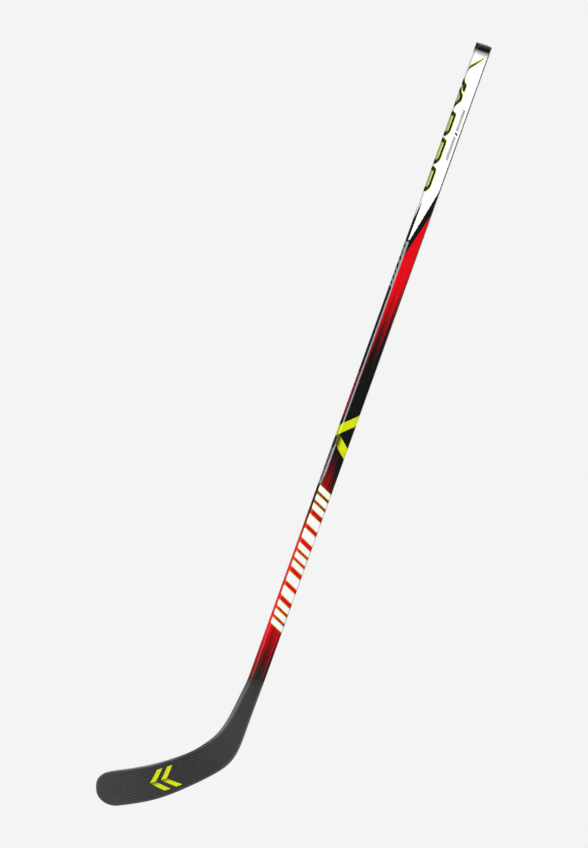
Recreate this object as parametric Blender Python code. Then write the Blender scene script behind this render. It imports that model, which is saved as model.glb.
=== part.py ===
"""Youth ice hockey stick: a fused composite stick built from its real layers.

Lengths in this script are millimetres until a mesh is written, then metres.
The shaft lies along Z with the butt end at z = 0 and the blade at the bottom.
The blade points to -X.  The wide faces of the shaft and of the blade face
-Y (called the front) and +Y (called the back, the hollow side of the blade).

Everything is placed by a station: the distance down the stick from the line
where the shaft tube ends and the hosel starts.  Negative stations lie in the
shaft, zero to TOE_START in the hosel and blade, and the rounded toe is last.
"""

import math

import bmesh
import bpy
import numpy as np

MM = 0.001

# Driving dimensions
SHAFT_LENGTH = 1025.0
SHAFT_WIDTH = 23.4
SHAFT_DEPTH = 15.6
SHAFT_CORNER = 4.0
OUTER_WALL = 0.8
INNER_WALL = 1.2
GAP = 0.3

PLUG_HEAD = 4.0
PLUG_STEM = 46.0
PLUG_GLUE = 0.6
TENON_LENGTH = 60.0
TENON_GLUE = 0.6

TOE_LENGTH = 31.6
TOE_FULLNESS_TOP = 0.72
TOE_FULLNESS_BOTTOM = 1.05
BOW_START = 95.0
BOW_DEPTH = 14.0
OPEN_ANGLE = math.radians(4.0)

BLOCK_END = 92.0
HEEL_END = 124.0
RIB_HALF = 0.7
PLY_WALL = 0.5

# Each line across the hosel and blade: the top end (x, z), the bottom end
# (x, z), the thickness there and the radius of the rounded edges.
RIBS = (
    ((-11.7, -1025.0), (11.7, -1025.0), 15.6, 4.0),
    ((-14.5, -1054.5), (11.5, -1056.5), 14.3, 3.9),
    ((-18.2, -1083.0), (11.5, -1089.5), 12.7, 3.7),
    ((-22.5, -1105.0), (11.6, -1119.0), 11.2, 3.4),
    ((-29.8, -1125.0), (9.6, -1144.5), 9.7, 3.2),
    ((-39.0, -1139.5), (3.8, -1162.0), 8.7, 3.0),
    ((-54.0, -1157.5), (-12.5, -1184.0), 7.6, 2.9),
    ((-81.0, -1180.0), (-42.0, -1213.5), 6.8, 2.8),
    ((-115.8, -1202.8), (-82.3, -1247.0), 6.2, 2.7),
    ((-159.0, -1225.6), (-133.5, -1275.0), 5.7, 2.6),
)

STATION_STEP = 9.0
TOE_ANGLES = 8
ARC_STEPS = 3


# ---------------------------------------------------------------- geometry

def curve_slopes(knots, values):
    """Slopes at the knots of the smooth cubic curve through the values.

    The first slope continues the straight shaft; the last end is relaxed.
    """
    count = len(knots)
    steps = np.diff(knots)
    rises = np.diff(values, axis=0) / steps[:, None]
    matrix = np.zeros((count, count))
    right = np.zeros(values.shape)
    matrix[0, 0] = 1.0
    right[0] = (0.0, -1.0, 0.0, -1.0, 0.0, 0.0)
    for i in range(1, count - 1):
        matrix[i, i - 1] = steps[i]
        matrix[i, i] = 2.0 * (steps[i - 1] + steps[i])
        matrix[i, i + 1] = steps[i - 1]
        right[i] = 3.0 * (steps[i] * rises[i - 1] + steps[i - 1] * rises[i])
    matrix[-1, -2:] = (1.0, 2.0)
    right[-1] = 3.0 * rises[-1]
    return np.linalg.solve(matrix, right)


RIB_VALUES = np.array([[*top, *bottom, depth, corner] for top, bottom, depth, corner in RIBS])
RIB_CENTRES = 0.5 * (RIB_VALUES[:, 0:2] + RIB_VALUES[:, 2:4])
RIB_SPACING = np.linalg.norm(np.diff(RIB_CENTRES, axis=0), axis=1)
RIB_STATIONS = np.concatenate([[0.0], np.cumsum(RIB_SPACING)])
RIB_SLOPES = curve_slopes(RIB_STATIONS, RIB_VALUES)
TOE_START = float(RIB_STATIONS[-1])
TIP = TOE_START + TOE_LENGTH


def rib_at(station):
    """Top point, bottom point, depth and corner radius at a station."""
    if station <= 0.0:
        z = -SHAFT_LENGTH - station
        half = SHAFT_WIDTH / 2.0
        return np.array([-half, z]), np.array([half, z]), SHAFT_DEPTH, SHAFT_CORNER
    i = min(int(np.searchsorted(RIB_STATIONS, station, side="right")) - 1, len(RIBS) - 2)
    step = RIB_STATIONS[i + 1] - RIB_STATIONS[i]
    t = (min(station, TOE_START) - RIB_STATIONS[i]) / step
    value = (
        (1.0 + 2.0 * t) * (1.0 - t) ** 2 * RIB_VALUES[i]
        + t * (1.0 - t) ** 2 * step * RIB_SLOPES[i]
        + t * t * (3.0 - 2.0 * t) * RIB_VALUES[i + 1]
        + t * t * (t - 1.0) * step * RIB_SLOPES[i + 1]
    )
    return value[0:2], value[2:4], float(value[4]), float(value[5])


def bend(station):
    """Share of the blade's length past the heel, where the bow grows."""
    return max(0.0, station - BOW_START) / (TIP - BOW_START)


def place(plane_point, across, outward, station):
    """World point in metres.

    plane_point is (x, z) in the plane of the stick, across is the distance
    up from the middle line of the blade, outward is towards the front face.
    """
    share = bend(station)
    y = BOW_DEPTH * share ** 2 - outward - across * math.tan(OPEN_ANGLE * share)
    return (plane_point[0] * MM, y * MM, plane_point[1] * MM)


def stick_point(station, height, outward, inset=0.0):
    """Point of a section: height runs from -1 at the bottom to 1 at the top.

    A height of 1 lies inset millimetres inside the top edge.  Past TOE_START
    the same inset follows the rounded toe, which is fuller at the top.
    """
    top, bottom, _, _ = rib_at(station)
    centre = 0.5 * (top + bottom)
    up = (top - bottom) / np.linalg.norm(top - bottom)
    half = 0.5 * np.linalg.norm(top - bottom) - inset
    if station > TOE_START:
        turn = math.asin(min(1.0, (station - TOE_START) / TOE_LENGTH))
        power = 0.5 * (TOE_FULLNESS_TOP * (1.0 + height) + TOE_FULLNESS_BOTTOM * (1.0 - height))
        half *= max(0.0, math.cos(turn)) ** power
        reach = (TOE_LENGTH - inset) * math.sin(turn) ** power
        centre = centre + reach * np.array([-up[1], up[0]])
        station = TOE_START + reach
    return place(centre + up * half * height, half * height, outward, station)


def depth_at(station):
    """Half the thickness and the edge radius at a station."""
    _, _, depth, corner = rib_at(station)
    return depth / 2.0, corner


def stations(start, end):
    """Evenly spaced stations, with the rounded toe stepped by angle."""
    last = min(end, TOE_START)
    count = max(1, round((last - start) / STATION_STEP))
    line = [start + (last - start) * i / count for i in range(count + 1)]
    if end > TOE_START:
        full = math.asin(min(1.0, (end - TOE_START) / TOE_LENGTH))
        turns = [full * i / TOE_ANGLES for i in range(1, TOE_ANGLES + 1)]
        line += [TOE_START + TOE_LENGTH * math.sin(turn) for turn in turns]
    return line


def arc(radius, start, end):
    """Offsets (along, out) round an edge, angles from the outward normal."""
    points = []
    for i in range(ARC_STEPS + 1):
        angle = start + (end - start) * i / ARC_STEPS
        points.append((radius * math.sin(angle), radius * (math.cos(angle) - 1.0)))
    return points


# ------------------------------------------------------------------ meshes

def make_object(name, mesh_data, colour, roughness, metallic=0.0):
    """Named object with its own material, from a bmesh."""
    bmesh.ops.remove_doubles(mesh_data, verts=mesh_data.verts, dist=1e-6)
    bmesh.ops.dissolve_degenerate(mesh_data, edges=mesh_data.edges, dist=1e-7)
    bmesh.ops.recalc_face_normals(mesh_data, faces=mesh_data.faces)
    mesh = bpy.data.meshes.new(name)
    mesh_data.to_mesh(mesh)
    mesh_data.free()
    material = bpy.data.materials.new(name)
    material.use_nodes = True
    shader = material.node_tree.nodes["Principled BSDF"]
    shader.inputs["Base Color"].default_value = (*colour, 1.0)
    shader.inputs["Roughness"].default_value = roughness
    shader.inputs["Metallic"].default_value = metallic
    material.diffuse_color = (*colour, 1.0)
    mesh.materials.append(material)
    item = bpy.data.objects.new(name, mesh)
    bpy.context.scene.collection.objects.link(item)
    return item


def add_rings(mesh_data, rings):
    """Faces between neighbouring closed rings; returns the ring vertices."""
    rows = [[mesh_data.verts.new(point) for point in ring] for ring in rings]
    size = len(rows[0])
    for lower, upper in zip(rows, rows[1:]):
        for i in range(size):
            j = (i + 1) % size
            mesh_data.faces.new((lower[i], lower[j], upper[j], upper[i]))
    return rows


def loft(name, rings, colour, roughness, closed_end=True):
    """Solid skinned over closed rings, capped unless the end is a seam."""
    mesh_data = bmesh.new()
    rows = add_rings(mesh_data, rings)
    mesh_data.faces.new(rows[0])
    if closed_end:
        mesh_data.faces.new(rows[-1])
    return make_object(name, mesh_data, colour, roughness)


def tube(name, outer_rings, inner_rings, colour, roughness):
    """Open-ended hollow tube between two sets of rings."""
    mesh_data = bmesh.new()
    outer = add_rings(mesh_data, outer_rings)
    inner = add_rings(mesh_data, inner_rings)
    size = len(outer[0])
    for end in (0, -1):
        for i in range(size):
            j = (i + 1) % size
            mesh_data.faces.new((outer[end][i], outer[end][j], inner[end][j], inner[end][i]))
    return make_object(name, mesh_data, colour, roughness)


def section(station, inset):
    """Closed ring of the stick's rounded section, inset all round."""
    half, corner = depth_at(station)
    radius = corner - inset
    ring = []
    for side, start in ((1, 0), (1, 1), (-1, 2), (-1, 3)):
        for i in range(ARC_STEPS + 1):
            angle = (start + i / ARC_STEPS) * math.pi / 2.0
            along = radius * math.sin(angle)
            out = radius * math.cos(angle)
            top = 1 if start in (0, 1) else -1
            front = 1 if start in (0, 3) else -1
            shift = inset + radius - top * along
            ring.append(stick_point(station, top, front * (half - corner) + out, shift))
    return ring


def plain_ring(station, low, high, half):
    """Four-cornered ring between two heights given as (height, inset)."""
    return [
        stick_point(station, low[0], half, low[1]),
        stick_point(station, high[0], half, high[1]),
        stick_point(station, high[0], -half, high[1]),
        stick_point(station, low[0], -half, low[1]),
    ]


def face_ring(station, front):
    """Section of a face laminate: it ends half way round each edge."""
    half, corner = depth_at(station)
    ring = []
    for wall, order in ((0.0, 1), (OUTER_WALL, -1)):
        radius = corner - wall
        limit = math.pi / 4.0 - 0.5 * GAP / radius
        side = []
        for along, out in arc(radius, -limit, 0.0):
            side.append((-1, corner + along, half - wall + out))
        for along, out in arc(radius, 0.0, limit):
            side.append((1, corner - along, half - wall + out))
        for height, inset, outward in side[::order]:
            ring.append(stick_point(station, height, front * outward, inset))
    return ring


def edge_ring(station, top):
    """Section of an edge wrap: C-shaped, from one face edge to the other."""
    half, corner = depth_at(station)
    ring = []
    for wall, order in ((0.0, 1), (OUTER_WALL, -1)):
        radius = corner - wall
        limit = math.pi / 4.0 - 0.5 * GAP / radius
        side = []
        for along, out in arc(radius, -limit, 0.0):
            side.append((wall - out, -(half - corner) + along))
        for along, out in arc(radius, 0.0, limit):
            side.append((wall - out, (half - corner) + along))
        for inset, outward in side[::order]:
            ring.append(stick_point(station, top, outward, inset))
    return ring


# ------------------------------------------------------------------- parts

def build_shaft():
    """Outer wrap and inner plies of the hollow shaft."""
    top = -SHAFT_LENGTH + PLUG_HEAD + GAP
    ends = (top, -GAP / 2.0)
    inner_start = OUTER_WALL + GAP
    tube(
        "shaft_outer_wrap",
        [section(s, 0.0) for s in ends],
        [section(s, OUTER_WALL) for s in ends],
        (0.75, 0.02, 0.035), 0.3,
    )
    tube(
        "shaft_inner_tube",
        [section(s, inner_start) for s in ends],
        [section(s, inner_start + INNER_WALL) for s in ends],
        (0.05, 0.05, 0.055), 0.55,
    )


def build_butt_end():
    """Plug with a flush head, and the glue sleeve round its stem."""
    bore = OUTER_WALL + GAP + INNER_WALL
    glue_outer = bore + GAP
    stem = glue_outer + PLUG_GLUE + GAP
    butt = -SHAFT_LENGTH
    under_head = butt + PLUG_HEAD
    stem_end = under_head + PLUG_STEM
    profile = (
        (butt, 0.6),
        (butt + 0.5, 0.15),
        (butt + 1.0, 0.0),
        (under_head, 0.0),
        (under_head, stem),
        (stem_end - 2.0, stem),
        (stem_end, stem + 0.9),
    )
    loft("end_plug", [section(s, inset) for s, inset in profile], (0.012, 0.012, 0.013), 0.45)
    glue_ends = (under_head + GAP + 1.0, stem_end - 4.0)
    tube(
        "plug_adhesive",
        [section(s, glue_outer) for s in glue_ends],
        [section(s, glue_outer + PLUG_GLUE) for s in glue_ends],
        (0.75, 0.66, 0.42), 0.4,
    )


def build_joint():
    """Tongue block, its glue sleeve and the inner wrap of the hosel."""
    bore = OUTER_WALL + GAP + INNER_WALL
    glue_outer = bore + GAP
    tongue = glue_outer + TENON_GLUE + GAP
    sleeve = OUTER_WALL + GAP
    body = sleeve + OUTER_WALL + GAP
    glue_ends = (-TENON_LENGTH + 4.0, -2.0)
    tube(
        "tenon_adhesive",
        [section(s, glue_outer) for s in glue_ends],
        [section(s, glue_outer + TENON_GLUE) for s in glue_ends],
        (0.5, 0.42, 0.2), 0.35,
    )
    profile = [(-TENON_LENGTH, tongue + 0.6), (-TENON_LENGTH + 3.0, tongue), (GAP, tongue), (GAP, body)]
    profile += [(s, body) for s in stations(GAP, BLOCK_END)[1:]]
    loft("tenon_block", [section(s, inset) for s, inset in profile], (0.62, 0.5, 0.33), 0.7)
    line = stations(GAP, BLOCK_END - 4.0)
    tube(
        "hosel_sleeve",
        [section(s, sleeve) for s in line],
        [section(s, sleeve + OUTER_WALL) for s in line],
        (0.05, 0.055, 0.06), 0.55,
    )


def build_blade_skins():
    """Face laminates and the wraps that close their edges."""
    line = stations(GAP / 2.0, TIP)
    for name, front in (("front_face_laminate", 1), ("back_face_laminate", -1)):
        rings = [face_ring(s, front) for s in line]
        loft(name, rings, (0.055, 0.057, 0.06), 0.42, closed_end=False)
    seam = 1.0 - (GAP / (2.0 * half_height(TOE_START))) ** 2
    edge_line = stations(GAP / 2.0, TOE_START + TOE_LENGTH * math.sqrt(seam))
    for name, top in (("top_edge_wrap", 1), ("bottom_edge_wrap", -1)):
        rings = [edge_ring(s, top) for s in edge_line]
        loft(name, rings, (0.075, 0.077, 0.08), 0.38)


def build_blade_core():
    """Structural plies, heel insert, rib and the two foam cores."""
    ply_top = OUTER_WALL + GAP
    core_top = ply_top + PLY_WALL + GAP
    for name, front in (("front_inner_ply", 1), ("back_inner_ply", -1)):
        rings = []
        for s in stations(BLOCK_END - 2.0, TIP):
            half, _ = depth_at(s)
            outer = front * (half - ply_top)
            inner = front * (half - ply_top - PLY_WALL)
            rings.append([
                stick_point(s, -1, outer, 2.5),
                stick_point(s, 1, outer, 2.5),
                stick_point(s, 1, inner, 2.5),
                stick_point(s, -1, inner, 2.5),
            ])
        loft(name, rings, (0.09, 0.095, 0.1), 0.55, closed_end=False)

    def core_rings(start, end, low, high):
        return [plain_ring(s, low, high, depth_at(s)[0] - core_top) for s in stations(start, end)]

    edge = (1, 1.5)
    loft(
        "heel_insert",
        core_rings(BLOCK_END + 1.0, HEEL_END, (-1, 1.5), edge),
        (0.16, 0.14, 0.12), 0.6,
    )
    core_start = HEEL_END + GAP
    core_end = TOE_START + 0.93 * TOE_LENGTH
    rings = []
    for s in stations(core_start, TOE_START + 0.9 * TOE_LENGTH):
        rings.append(band_ring(s, -RIB_HALF, RIB_HALF, depth_at(s)[0] - core_top))
    loft("core_rib", rings, (0.1, 0.105, 0.11), 0.5)
    for name, side in (("upper_foam_core", 1), ("lower_foam_core", -1)):
        rings = []
        for s in stations(core_start, core_end):
            rings.append(half_core_ring(s, side, depth_at(s)[0] - core_top))
        loft(name, rings, (0.83, 0.76, 0.6), 0.85)


def half_height(station):
    """Half the height of the section at a station, before any inset."""
    top, bottom, _, _ = rib_at(station)
    return 0.5 * float(np.linalg.norm(top - bottom))


def band_ring(station, low, high, half):
    """Ring between two distances from the middle line, in millimetres."""
    reach = half_height(station)
    if station > TOE_START:
        reach *= math.sqrt(max(0.0, 1.0 - ((station - TOE_START) / TOE_LENGTH) ** 2))
    return [
        stick_point(station, low / reach, half),
        stick_point(station, high / reach, half),
        stick_point(station, high / reach, -half),
        stick_point(station, low / reach, -half),
    ]


def half_core_ring(station, side, half):
    """Ring of one foam core, from beside the rib to inside the edge wrap."""
    near = band_ring(station, side * (RIB_HALF + GAP), side * (RIB_HALF + GAP), half)
    return [
        near[0],
        stick_point(station, side, half, 1.5),
        stick_point(station, side, -half, 1.5),
        near[3],
    ]


def clear_scene():
    """Remove whatever the scene starts with."""
    for item in list(bpy.data.objects):
        bpy.data.objects.remove(item, do_unlink=True)


clear_scene()
build_shaft()
build_butt_end()
build_joint()
build_blade_skins()
build_blade_core()
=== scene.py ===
"""Looks of the youth ice hockey stick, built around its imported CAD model.

Lengths are millimetres until a mesh is written, then metres.  The butt face
of the stick is at z = 0, the blade is at the bottom and points to -X, and
the front of the stick faces -Y.

The shaft's paintwork is laid out flat.  On that flat sheet, across is the
distance round the shaft from the middle of the front face, positive towards
the inner narrow face (-X), and down is the distance from the butt face.
Each colour is an outline on the sheet; the sheet is cut along the outlines
and wrapped round the shaft, and the back of the shaft repeats the front,
apart from a few graphics that only the front has.
"""

import math

import bpy
import numpy as np
from mathutils import Matrix, Vector
from mathutils.geometry import delaunay_2d_cdt


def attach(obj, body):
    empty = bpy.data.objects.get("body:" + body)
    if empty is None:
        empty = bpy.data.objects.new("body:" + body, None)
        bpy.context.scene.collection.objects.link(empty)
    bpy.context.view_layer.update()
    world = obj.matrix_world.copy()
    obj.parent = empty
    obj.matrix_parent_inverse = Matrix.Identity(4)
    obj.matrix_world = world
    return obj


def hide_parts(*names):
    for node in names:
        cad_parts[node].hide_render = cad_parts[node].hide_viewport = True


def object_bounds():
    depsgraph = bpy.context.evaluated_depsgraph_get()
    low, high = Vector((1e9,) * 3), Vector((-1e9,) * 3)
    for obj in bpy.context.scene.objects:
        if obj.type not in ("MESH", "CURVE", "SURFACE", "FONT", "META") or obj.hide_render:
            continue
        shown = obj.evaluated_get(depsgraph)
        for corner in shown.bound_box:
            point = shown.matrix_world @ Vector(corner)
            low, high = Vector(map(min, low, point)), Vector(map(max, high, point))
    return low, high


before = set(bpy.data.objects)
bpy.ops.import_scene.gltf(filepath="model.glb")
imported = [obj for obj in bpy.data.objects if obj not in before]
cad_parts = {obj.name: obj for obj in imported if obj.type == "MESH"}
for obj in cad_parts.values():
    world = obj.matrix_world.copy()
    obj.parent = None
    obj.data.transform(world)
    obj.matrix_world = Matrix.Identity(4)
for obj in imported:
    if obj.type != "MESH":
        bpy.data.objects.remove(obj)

cad_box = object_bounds()

MM = 0.001
BODY = "root"

# The stick, as in the CAD model
SHAFT_LENGTH = 1025.0
SHAFT_WIDTH = 23.4
SHAFT_DEPTH = 15.6
SHAFT_CORNER = 4.0
WALL = 0.8
PLUG_HEAD = 4.0
PLUG_STEM = 46.0
PLUG_STEM_INSET = 3.5

TOE_LENGTH = 31.6
TOE_FULLNESS_TOP = 0.72
TOE_FULLNESS_BOTTOM = 1.05
BOW_START = 95.0
BOW_DEPTH = 14.0
OPEN_ANGLE = math.radians(4.0)

# Each line across the hosel and blade: the top end (x, z), the bottom end
# (x, z), the thickness there and the radius of the rounded edges.
RIBS = (
    ((-11.7, -1025.0), (11.7, -1025.0), 15.6, 4.0),
    ((-14.5, -1054.5), (11.5, -1056.5), 14.3, 3.9),
    ((-18.2, -1083.0), (11.5, -1089.5), 12.7, 3.7),
    ((-22.5, -1105.0), (11.6, -1119.0), 11.2, 3.4),
    ((-29.8, -1125.0), (9.6, -1144.5), 9.7, 3.2),
    ((-39.0, -1139.5), (3.8, -1162.0), 8.7, 3.0),
    ((-54.0, -1157.5), (-12.5, -1184.0), 7.6, 2.9),
    ((-81.0, -1180.0), (-42.0, -1213.5), 6.8, 2.8),
    ((-115.8, -1202.8), (-82.3, -1247.0), 6.2, 2.7),
    ((-159.0, -1225.6), (-133.5, -1275.0), 5.7, 2.6),
)

# Distances round the shaft: half the front flat, one corner, and the middle
# of a narrow face, which is where the front's paintwork meets the back's.
FLAT = SHAFT_WIDTH / 2.0 - SHAFT_CORNER
CORNER = SHAFT_CORNER * math.pi / 2.0
EDGE = FLAT + CORNER + SHAFT_DEPTH / 2.0 - SHAFT_CORNER

# Folds round each corner, the gap where two pieces meet, and the step over
# which a surface's slopes are taken
CORNER_FOLDS = 10
JOINT_GAP = 0.02
NORMAL_STEP = 0.02

# Colours, linear
WHITE = (0.9, 0.9, 0.9)
BLACK = (0.0045, 0.0053, 0.005)
PALE_BLACK = (0.017, 0.019, 0.018)
RED = (0.7, 0.0012, 0.0065)
DIM_RED = (0.4, 0.003, 0.02)
NEON = (0.63, 0.7, 0.004)
NEON_SHADE = (0.07, 0.075, 0.003)
OLIVE = (0.38, 0.46, 0.01)
SILVER = (0.27, 0.28, 0.29)
PALE_OLIVE = (0.5, 0.53, 0.28)
TICK_GREY = (0.22, 0.22, 0.22)
CHARCOAL = (0.037, 0.037, 0.0374)
FLOOR_GREY = (0.48, 0.48, 0.48)
BACKDROP = (0.905, 0.905, 0.905)
RUBBER = (0.011, 0.0112, 0.0118)

# Paints of one even colour, by name
FLAT_PAINTS = {
    "black_paint": BLACK,
    "neon_paint": NEON,
    "olive_paint": OLIVE,
    "dim_red_paint": DIM_RED,
    "silver_paint": SILVER,
    "tick_paint": TICK_GREY,
    "panel_paint": PALE_OLIVE,
    "stripe_olive_paint": OLIVE,
    "stripe_black_paint": BLACK,
}

# Paints of graphics that only the front has, with what the back has instead
FRONT_ONLY = {
    "folded_neon_paint": "black_paint",
    "stripe_olive_paint": "white_paint",
    "stripe_black_paint": "white_paint",
}


# ---------- the stick

def steps_between(start, end, count):
    """Values from start to end, count equal steps apart."""
    return [start + (end - start) * i / count for i in range(count + 1)]


def curve_slopes(knots, values):
    """Slopes at the knots of the smooth cubic curve through the values.

    The first slope continues the straight shaft; the last end is relaxed.
    """
    count = len(knots)
    steps = np.diff(knots)
    rises = np.diff(values, axis=0) / steps[:, None]
    matrix = np.zeros((count, count))
    right = np.zeros(values.shape)
    matrix[0, 0] = 1.0
    right[0] = (0.0, -1.0, 0.0, -1.0, 0.0, 0.0)
    for i in range(1, count - 1):
        matrix[i, i - 1] = steps[i]
        matrix[i, i] = 2.0 * (steps[i - 1] + steps[i])
        matrix[i, i + 1] = steps[i - 1]
        right[i] = 3.0 * (steps[i] * rises[i - 1] + steps[i - 1] * rises[i])
    matrix[-1, -2:] = (1.0, 2.0)
    right[-1] = 3.0 * rises[-1]
    return np.linalg.solve(matrix, right)


RIB_VALUES = np.array([[*top, *bottom, depth, corner] for top, bottom, depth, corner in RIBS])
RIB_CENTRES = 0.5 * (RIB_VALUES[:, 0:2] + RIB_VALUES[:, 2:4])
RIB_SPACING = np.linalg.norm(np.diff(RIB_CENTRES, axis=0), axis=1)
RIB_STATIONS = np.concatenate([[0.0], np.cumsum(RIB_SPACING)])
RIB_SLOPES = curve_slopes(RIB_STATIONS, RIB_VALUES)
TOE_START = float(RIB_STATIONS[-1])
TIP = TOE_START + TOE_LENGTH


def rib_at(station):
    """Top point, bottom point, depth and corner radius at a station."""
    if station <= 0.0:
        z = -SHAFT_LENGTH - station
        half = SHAFT_WIDTH / 2.0
        return np.array([-half, z]), np.array([half, z]), SHAFT_DEPTH, SHAFT_CORNER
    i = min(int(np.searchsorted(RIB_STATIONS, station, side="right")) - 1, len(RIBS) - 2)
    step = RIB_STATIONS[i + 1] - RIB_STATIONS[i]
    t = (min(station, TOE_START) - RIB_STATIONS[i]) / step
    value = (
        (1.0 + 2.0 * t) * (1.0 - t) ** 2 * RIB_VALUES[i]
        + t * (1.0 - t) ** 2 * step * RIB_SLOPES[i]
        + t * t * (3.0 - 2.0 * t) * RIB_VALUES[i + 1]
        + t * t * (t - 1.0) * step * RIB_SLOPES[i + 1]
    )
    return value[0:2], value[2:4], float(value[4]), float(value[5])


def bend(station):
    """Share of the blade's length past the heel, where the bow grows."""
    return max(0.0, station - BOW_START) / (TIP - BOW_START)


def stick_point(station, height, outward, inset=0.0):
    """Point of a section: height runs from -1 at the bottom to 1 at the top."""
    top, bottom, _, _ = rib_at(station)
    centre = 0.5 * (top + bottom)
    up = (top - bottom) / np.linalg.norm(top - bottom)
    half = 0.5 * np.linalg.norm(top - bottom) - inset
    if station > TOE_START:
        turn = math.asin(min(1.0, (station - TOE_START) / TOE_LENGTH))
        power = 0.5 * (TOE_FULLNESS_TOP * (1.0 + height) + TOE_FULLNESS_BOTTOM * (1.0 - height))
        half *= max(0.0, math.cos(turn)) ** power
        reach = (TOE_LENGTH - inset) * math.sin(turn) ** power
        centre = centre + reach * np.array([-up[1], up[0]])
        station = TOE_START + reach
    share = bend(station)
    across = half * height
    point = centre + up * across
    y = BOW_DEPTH * share ** 2 - outward - across * math.tan(OPEN_ANGLE * share)
    return Vector((point[0], y, point[1])) * MM


def section_point(station, turn, wall):
    """Point on the section's outline, or on a wall's inner side.

    turn runs round the section: 0 to 1 up the front flat, 1 to 2 round the
    top front edge, 2 to 3 across the top, 3 to 4 round the top back edge,
    and so on down the back and round the bottom to 8.
    """
    turn = turn % 8.0
    back = turn >= 2.5 and turn < 6.5
    if back:
        turn = (5.0 - turn) % 8.0
    _, _, depth, corner = rib_at(station)
    flat = depth / 2.0 - corner
    side = -1.0 if back else 1.0
    radius = corner - wall
    if turn <= 1.0:
        return stick_point(station, 2.0 * turn - 1.0, side * (flat + radius), corner)
    top = 1.0 if turn < 4.0 else -1.0
    edge = turn - 1.0 if top > 0.0 else 8.0 - turn
    if edge > 1.0:
        return stick_point(station, top, side * flat * (3.0 - 2.0 * edge), wall)
    angle = edge * math.pi / 2.0
    outward = flat + radius * math.cos(angle)
    return stick_point(station, top, side * outward, corner - radius * math.sin(angle))


def shaft_point(across, down, inset):
    """Point of the shaft for a place on the flat sheet."""
    around = (across + 2.0 * EDGE) % (4.0 * EDGE) - 2.0 * EDGE
    side = -1.0 if around >= 0.0 else 1.0
    away = abs(around)
    back = away > EDGE
    if back:
        away = 2.0 * EDGE - away
    if away <= FLAT:
        x = away
        y = SHAFT_DEPTH / 2.0 - inset
    elif away <= FLAT + CORNER:
        angle = (away - FLAT) / SHAFT_CORNER
        x = FLAT + (SHAFT_CORNER - inset) * math.sin(angle)
        y = SHAFT_DEPTH / 2.0 - SHAFT_CORNER + (SHAFT_CORNER - inset) * math.cos(angle)
    else:
        x = SHAFT_WIDTH / 2.0 - inset
        y = EDGE - away
    return Vector((side * x, y if back else -y, -down)) * MM


def surface_normal(surface, first, second, level):
    """Unit normal of surface(first, second, level), by small steps each way."""
    step = NORMAL_STEP
    along = surface(first + step, second, level) - surface(first - step, second, level)
    down = surface(first, second + step, level) - surface(first, second - step, level)
    return along.cross(down).normalized()


# ---------- outlines

# Share of a side that a rounded corner may take, and the least cosine that
# holds back a sharp corner as an outline grows
ROUND_REACH = 0.45
MITRE_LIMIT = 0.3


def slanted(start, end, low, high, slant):
    """Four-sided outline between two downs and two acrosses, leaning by slant."""
    middle = 0.5 * (low + high)
    return [
        (low, start + slant * (low - middle)),
        (high, start + slant * (high - middle)),
        (high, end + slant * (high - middle)),
        (low, end + slant * (low - middle)),
    ]


def sides(points):
    """Each point of a closed outline with the next one."""
    return zip(points, points[1:] + points[:1])


def neighbours(points):
    """Each point of a closed outline between the ones beside it."""
    return zip(points[-1:] + points[:-1], points, points[1:] + points[:1])


def rounded(outline, radius, steps=4):
    """The outline with each corner replaced by a curve."""
    points = [Vector(p) for p in outline]
    result = []
    for before, corner, after in neighbours(points):
        start, end = (
            corner + (other - corner).normalized() * min(radius, ROUND_REACH * (other - corner).length)
            for other in (before, after)
        )
        for i in range(steps + 1):
            t = i / steps
            point = start * (1.0 - t) ** 2 + corner * 2.0 * t * (1.0 - t) + end * t * t
            result.append((point.x, point.y))
    return result


def grown(outline, margin):
    """A convex outline moved outwards by a margin."""
    points = [Vector(p) for p in outline]
    area = sum(a.x * b.y - b.x * a.y for a, b in sides(points))
    side = 1.0 if area > 0.0 else -1.0
    result = []
    for before, corner, after in neighbours(points):
        entry = (corner - before).normalized()
        leave = (after - corner).normalized()
        out = Vector((entry.y + leave.y, -entry.x - leave.x)) * side
        out.normalize()
        across = Vector((entry.y, -entry.x)) * side
        moved = corner + out * (margin / max(MITRE_LIMIT, out.dot(across)))
        result.append((moved.x, moved.y))
    return result


def ribbon(line, widths):
    """Outline of a stripe of changing width along a line."""
    points = [Vector(p) for p in line]
    left = []
    right = []
    for i, point in enumerate(points):
        ahead = points[min(i + 1, len(points) - 1)] - points[max(i - 1, 0)]
        out = Vector((-ahead.y, ahead.x)).normalized() * widths[i] / 2.0
        left.append((point + out)[:])
        right.append((point - out)[:])
    return left + right[::-1]


def clipped(outline, low, high):
    """The part of an outline between two corners (across, down) of a sheet."""
    for axis in (0, 1):
        for limit, sign in ((low[axis], 1.0), (high[axis], -1.0)):
            result = []
            for a, b in sides(outline):
                inside_a = sign * (a[axis] - limit) >= 0.0
                inside_b = sign * (b[axis] - limit) >= 0.0
                if inside_a:
                    result.append(a)
                if inside_a != inside_b:
                    t = (limit - a[axis]) / (b[axis] - a[axis])
                    result.append(tuple(a[k] + t * (b[k] - a[k]) for k in (0, 1)))
            outline = result
            if len(outline) < 3:
                return []
    return outline


def inside(point, outline):
    """True if a point is inside an outline."""
    within = False
    for a, b in sides(outline):
        if (a[1] > point[1]) != (b[1] > point[1]):
            if point[0] < a[0] + (point[1] - a[1]) * (b[0] - a[0]) / (b[1] - a[1]):
                within = not within
    return within


# ---------- meshes

# Distance within which points of a sheet are one, and twice the area under
# which a triangle is left out
TOUCHING = 1e-4
SLIVER = 1e-7


def linked(name, data):
    """A new object in the scene."""
    item = bpy.data.objects.new(name, data)
    bpy.context.scene.collection.objects.link(item)
    return item


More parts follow.
